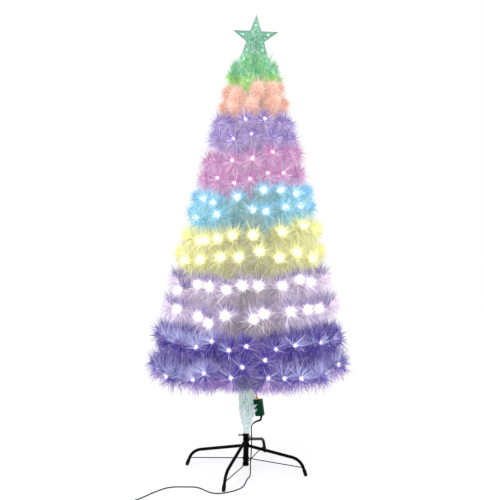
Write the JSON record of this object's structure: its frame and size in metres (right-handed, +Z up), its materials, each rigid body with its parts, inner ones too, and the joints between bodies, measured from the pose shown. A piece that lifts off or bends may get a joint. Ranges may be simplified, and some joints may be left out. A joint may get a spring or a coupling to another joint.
{
  "type": "fiber optic christmas tree",
  "caption": "Artificial Christmas tree with lit fibre optic branches in colour bands, a star topper, a control box with a corded adapter, and a folding steel stand.",
  "frame": {"origin": "on the floor, under the axis of the pole", "axes": "+Z up along the pole, -Y towards the front, where the star faces, and +X to the viewer's right"},
  "size_m": [0.8541, 0.8818, 1.794],
  "materials": {
    "black_steel": "gloss",
    "black_rubber": "matte",
    "zinc_steel": "satin",
    "green_case": "satin",
    "circuit_laminate": "satin",
    "yellow_rubber": "satin",
    "orange_lead": "satin",
    "clear_fibre": "gloss",
    "tinted_clear_plastic": "gloss",
    "white_plastic": "satin",
    "violet_needles": "satin",
    "white_needles": "satin",
    "yellow_needles": "satin",
    "cyan_needles": "satin",
    "pink_needles": "satin",
    "purple_needles": "satin",
    "orange_needles": "satin",
    "green_needles": "satin"
  },
  "bodies": {
    "stand": {"stand_tube": "black_steel", "side_leg_collar": "black_steel", "side_rod_collar": "black_steel", "right_leg": "black_steel", "right_brace_rod": "black_steel", "right_foot_cap": "black_rubber", "left_leg": "black_steel", "left_brace_rod": "black_steel", "left_foot_cap": "black_rubber", "cord": "black_rubber", "cord_coil": "black_rubber", "cord_tie": "black_rubber", "adapter_body": "black_rubber", "adapter_pin_face": "black_rubber", "adapter_relief": "black_rubber", "plug_pin_left": "zinc_steel", "plug_pin_right": "zinc_steel"},
    "front_leg_pair": {"front_leg_collar": "black_steel", "front_rod_collar": "black_steel", "front_leg": "black_steel", "front_brace_rod": "black_steel", "front_foot_cap": "black_rubber", "back_leg": "black_steel", "back_brace_rod": "black_steel", "back_foot_cap": "black_rubber"},
    "left_thumb_screw": {"thumb_screw_left": "zinc_steel"},
    "front_thumb_screw": {"thumb_screw_front": "zinc_steel"},
    "lower_tree": {"lower_pole": "black_steel", "violet_branches_low": "violet_needles", "violet_branches_high": "violet_needles", "white_branches_low": "white_needles", "white_branches_high": "white_needles", "yellow_branches_low": "yellow_needles", "yellow_branches_high": "yellow_needles", "fibre_bundle": "clear_fibre", "control_box_front": "green_case", "control_box_back": "green_case", "circuit_board": "circuit_laminate", "output_grommet": "yellow_rubber", "output_lead": "orange_lead", "strain_relief": "black_rubber"},
    "upper_tree": {"upper_pole": "black_steel", "cyan_branches_low": "cyan_needles", "cyan_branches_high": "cyan_needles", "pink_branches_low": "pink_needles", "pink_branches_high": "pink_needles", "purple_branches_low": "purple_needles", "purple_branches_high": "purple_needles", "orange_branches_low": "orange_needles", "orange_branches_high": "orange_needles", "green_branches_low": "green_needles", "green_branches_high": "green_needles", "top_tuft": "green_needles"},
    "star": {"star_front_shell": "tinted_clear_plastic", "star_back_shell": "tinted_clear_plastic", "star_light_board": "white_plastic", "star_socket": "white_plastic"},
    "mode_button": {"mode_button": "green_case"}
  },
  "joints": [
    {"name": "front_leg_pair_fold", "type": "hinge", "parent": "stand", "child": "front_leg_pair", "pos_m": [0, 0, 0.13], "axis": [0, 0, 1], "range_deg": [-70, 0]},
    {"name": "left_thumb_screw_turn", "type": "hinge", "parent": "stand", "child": "left_thumb_screw", "pos_m": [0, 0, 0.1465], "axis": [-1, 0, 0], "continuous": true},
    {"name": "front_thumb_screw_turn", "type": "hinge", "parent": "stand", "child": "front_thumb_screw", "pos_m": [0, 0, 0.1465], "axis": [0.5446, -0.8387, 0], "continuous": true},
    {"name": "lower_tree_lift", "type": "slide", "parent": "stand", "child": "lower_tree", "axis": [0, 0, 1], "range_m": [0, 0.11]},
    {"name": "upper_tree_lift", "type": "slide", "parent": "lower_tree", "child": "upper_tree", "axis": [0, 0, 1], "range_m": [0, 0.055]},
    {"name": "star_lift", "type": "slide", "parent": "upper_tree", "child": "star", "axis": [0, 0, 1], "range_m": [0, 0.038]},
    {"name": "mode_button_press", "type": "slide", "parent": "lower_tree", "child": "mode_button", "axis": [0.309, 0.9511, 0], "range_m": [0, 0.0014], "stiffness_N_per_m": 300, "springref_m": -0.0005}
  ]
}
